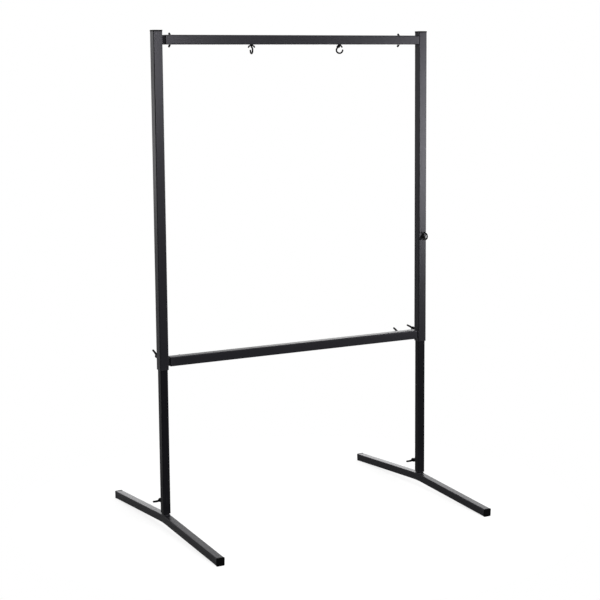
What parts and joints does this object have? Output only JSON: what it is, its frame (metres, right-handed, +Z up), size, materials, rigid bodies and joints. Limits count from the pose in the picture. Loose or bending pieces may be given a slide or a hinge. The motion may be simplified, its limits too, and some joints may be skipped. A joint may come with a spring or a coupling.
{
  "type": "gong stand",
  "caption": "Take-apart frame of square steel tube on two bent feet, with telescoping legs, clamped bars and open ring hooks for a hanging gong.",
  "frame": {"origin": "On the floor, midway between the two feet from side to side and from front to back.", "axes": "+X to the right along the bars as seen from the front, +Y from the front to the back where the clamp screws are, +Z up along the uprights."},
  "size_m": [1.0156, 0.8132, 1.5851],
  "materials": {
    "frame_coat": "satin black powder coat with a fine orange-peel texture",
    "leg_coat": "smoother satin black coat on the sliding legs",
    "black_hardware": "black-coated cast and formed steel",
    "black_plastic": "matt moulded plastic"
  },
  "bodies": {
    "left_foot": {"left_foot_tube": "frame_coat", "left_foot_spigot": "frame_coat", "left_foot_front_plug": "black_plastic", "left_foot_back_plug": "black_plastic"},
    "left_leg": {"left_leg_tube": "leg_coat", "left_leg_boss": "leg_coat"},
    "left_foot_clamp": {"left_foot_screw": "black_hardware"},
    "left_upright": {"left_upright_tube": "frame_coat", "left_upright_cap": "black_plastic", "left_upright_boss": "frame_coat", "left_top_stub": "frame_coat", "left_low_stub": "frame_coat"},
    "left_height_clamp": {"left_height_screw": "black_hardware"},
    "top_bar": {"top_bar_tube": "frame_coat", "top_bar_left_boss": "frame_coat", "top_bar_right_boss": "frame_coat", "left_hook_insert": "black_hardware", "right_hook_insert": "black_hardware"},
    "top_left_clamp": {"top_bar_left_screw": "black_hardware"},
    "top_right_clamp": {"top_bar_right_screw": "black_hardware"},
    "left_gong_hook": {"left_hook": "black_hardware"},
    "left_gong_hook_nut": {"left_hook_nut": "black_hardware"},
    "right_gong_hook": {"right_hook": "black_hardware"},
    "right_gong_hook_nut": {"right_hook_nut": "black_hardware"},
    "low_bar": {"low_bar_tube": "frame_coat", "low_bar_left_boss": "frame_coat", "low_bar_right_boss": "frame_coat"},
    "low_left_clamp": {"low_bar_left_screw": "black_hardware"},
    "low_right_clamp": {"low_bar_right_screw": "black_hardware"},
    "right_upright": {"right_upright_tube": "frame_coat", "right_upright_cap": "black_plastic", "right_upright_boss": "frame_coat", "right_top_stub": "frame_coat", "right_low_stub": "frame_coat", "mallet_hook_insert": "black_hardware"},
    "right_height_clamp": {"right_height_screw": "black_hardware"},
    "side_hook": {"mallet_hook": "black_hardware"},
    "side_hook_nut": {"mallet_hook_nut": "black_hardware"},
    "right_leg": {"right_leg_tube": "leg_coat", "right_leg_boss": "leg_coat"},
    "right_foot_clamp": {"right_foot_screw": "black_hardware"},
    "right_foot": {"right_foot_tube": "frame_coat", "right_foot_spigot": "frame_coat", "right_foot_front_plug": "black_plastic", "right_foot_back_plug": "black_plastic"}
  },
  "joints": [
    {"name": "left_foot_socket", "type": "slide", "parent": "left_foot", "child": "left_leg", "axis": [0, 0, 1], "range_m": [-0.002, 0.035]},
    {"name": "left_height", "type": "slide", "parent": "left_leg", "child": "left_upright", "axis": [0, 0, 1], "range_m": [-0.22, 0.06]},
    {"name": "top_bar_on_left_stub", "type": "slide", "parent": "left_upright", "child": "top_bar", "axis": [1, 0, 0], "range_m": [-0.005, 0.03]},
    {"name": "low_bar_on_left_stub", "type": "slide", "parent": "left_upright", "child": "low_bar", "axis": [1, 0, 0], "range_m": [-0.005, 0.03]},
    {"name": "right_stubs_in_bars", "type": "slide", "parent": "top_bar", "child": "right_upright", "axis": [1, 0, 0], "range_m": [-0.0005, 0.035]},
    {"name": "right_height", "type": "slide", "parent": "right_upright", "child": "right_leg", "axis": [0, 0, -1], "range_m": [-0.22, 0.06]},
    {"name": "right_foot_socket", "type": "slide", "parent": "right_leg", "child": "right_foot", "axis": [0, 0, -1], "range_m": [-0.002, 0.035]},
    {"name": "left_foot_screw_turn", "type": "hinge", "parent": "left_leg", "child": "left_foot_clamp", "pos_m": [-0.485, 0.03, 0.08661], "axis": [0, 1, 0], "continuous": true},
    {"name": "left_height_screw_turn", "type": "hinge", "parent": "left_upright", "child": "left_height_clamp", "pos_m": [-0.485, 0.03, 0.55811], "axis": [0, 1, 0], "continuous": true},
    {"name": "top_left_screw_turn", "type": "hinge", "parent": "top_bar", "child": "top_left_clamp", "pos_m": [-0.4185, 0.03, 1.55511], "axis": [0, 1, 0], "continuous": true},
    {"name": "top_right_screw_turn", "type": "hinge", "parent": "top_bar", "child": "top_right_clamp", "pos_m": [0.4275, 0.03, 1.55511], "axis": [0, 1, 0], "continuous": true},
    {"name": "low_left_screw_turn", "type": "hinge", "parent": "low_bar", "child": "low_left_clamp", "pos_m": [-0.423, 0.03, 0.54711], "axis": [0, 1, 0], "continuous": true},
    {"name": "low_right_screw_turn", "type": "hinge", "parent": "low_bar", "child": "low_right_clamp", "pos_m": [0.423, 0.03, 0.54711], "axis": [0, 1, 0], "continuous": true},
    {"name": "right_height_screw_turn", "type": "hinge", "parent": "right_upright", "child": "right_height_clamp", "pos_m": [0.485, 0.03, 0.55811], "axis": [0, 1, 0], "continuous": true},
    {"name": "right_foot_screw_turn", "type": "hinge", "parent": "right_leg", "child": "right_foot_clamp", "pos_m": [0.485, 0.03, 0.08661], "axis": [0, 1, 0], "continuous": true},
    {"name": "left_hook_swivel", "type": "hinge", "parent": "top_bar", "child": "left_gong_hook", "pos_m": [-0.1575, 0, 1.535], "axis": [0, 0, 1], "continuous": true},
    {"name": "left_hook_nut_turn", "type": "hinge", "parent": "left_gong_hook", "child": "left_gong_hook_nut", "pos_m": [-0.1575, 0, 1.537], "axis": [0, 0, 1], "continuous": true},
    {"name": "right_hook_swivel", "type": "hinge", "parent": "top_bar", "child": "right_gong_hook", "pos_m": [0.1665, 0, 1.535], "axis": [0, 0, 1], "continuous": true},
    {"name": "right_hook_nut_turn", "type": "hinge", "parent": "right_gong_hook", "child": "right_gong_hook_nut", "pos_m": [0.1665, 0, 1.537], "axis": [0, 0, 1], "continuous": true},
    {"name": "side_hook_swivel", "type": "hinge", "parent": "right_upright", "child": "side_hook", "pos_m": [0.485, -0.02, 0.88961], "axis": [0, 1, 0], "continuous": true},
    {"name": "side_hook_nut_turn", "type": "hinge", "parent": "side_hook", "child": "side_hook_nut", "pos_m": [0.485, -0.018, 0.88961], "axis": [0, 1, 0], "continuous": true}
  ],
  "couplings": [
    {"joint": "right_height", "follows": "left_height", "ratio": 1},
    {"joint": "right_foot_socket", "follows": "left_foot_socket", "ratio": 1},
    {"joint": "low_bar_on_left_stub", "follows": "top_bar_on_left_stub", "ratio": 1}
  ]
}
